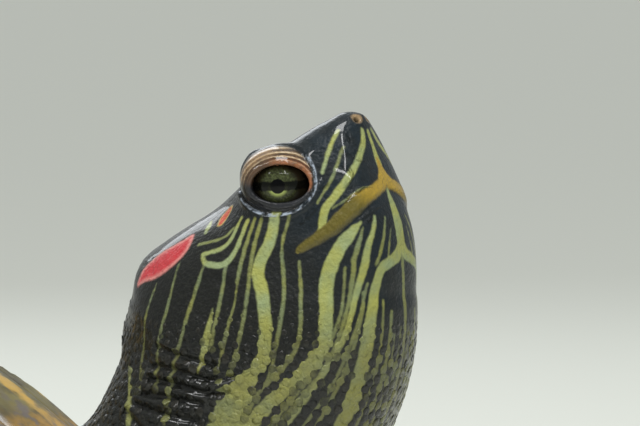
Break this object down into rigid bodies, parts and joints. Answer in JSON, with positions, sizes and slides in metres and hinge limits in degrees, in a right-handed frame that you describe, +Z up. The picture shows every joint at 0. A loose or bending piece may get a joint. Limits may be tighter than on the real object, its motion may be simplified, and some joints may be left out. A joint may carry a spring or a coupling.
{
  "type": "red-eared slider turtle",
  "caption": "Life-size freshwater turtle standing with its neck raised and snout up: domed shell of separate scutes, striped head, webbed feet with claws and a short tail.",
  "frame": {"origin": "on the floor under the middle of the whole animal", "axes": "+X forward, the way the snout points, +Y to the turtle's left, +Z up"},
  "size_m": [0.295, 0.223, 0.1141],
  "materials": {
    "skin": "wet scaly skin, dark olive with yellow-green stripes and a red patch behind the eye",
    "jaw": "wet skin and horn, dark with yellow stripes",
    "eye": "wet cornea over a yellow-green iris with a dark bar",
    "claw": "dark horn",
    "carapace": "olive horn scutes with yellow bars and fine growth rings",
    "marginals": "olive horn scutes with yellow-orange edges and dark smudges",
    "plastron": "yellow horn with dark blotches"
  },
  "bodies": {
    "root": {"bridge_left": "plastron", "bridge_right": "plastron", "costal_left_1": "carapace", "costal_left_2": "carapace", "costal_left_3": "carapace", "costal_left_4": "carapace", "costal_right_1": "carapace", "costal_right_2": "carapace", "costal_right_3": "carapace", "costal_right_4": "carapace", "eye_left": "eye", "eye_right": "eye", "forefoot_left": "skin", "forefoot_left_claw_1": "claw", "forefoot_left_claw_2": "claw", "forefoot_left_claw_3": "claw", "forefoot_left_claw_4": "claw", "forefoot_left_claw_5": "claw", "forefoot_right": "skin", "forefoot_right_claw_1": "claw", "forefoot_right_claw_2": "claw", "forefoot_right_claw_3": "claw", "forefoot_right_claw_4": "claw", "forefoot_right_claw_5": "claw", "foreleg_left": "skin", "foreleg_right": "skin", "head": "skin", "hindfoot_left": "skin", "hindfoot_left_claw_1": "claw", "hindfoot_left_claw_2": "claw", "hindfoot_left_claw_3": "claw", "hindfoot_left_claw_4": "claw", "hindfoot_right": "skin", "hindfoot_right_claw_1": "claw", "hindfoot_right_claw_2": "claw", "hindfoot_right_claw_3": "claw", "hindfoot_right_claw_4": "claw", "hindleg_left": "skin", "hindleg_right": "skin", "lower_jaw": "jaw", "marginals_left": "marginals", "marginals_right": "marginals", "neck": "skin", "nuchal": "marginals", "plastron": "plastron", "tail": "skin", "trunk": "skin", "vertebral_1": "carapace", "vertebral_2": "carapace", "vertebral_3": "carapace", "vertebral_4": "carapace", "vertebral_5": "carapace"}
  },
  "joints": []
}
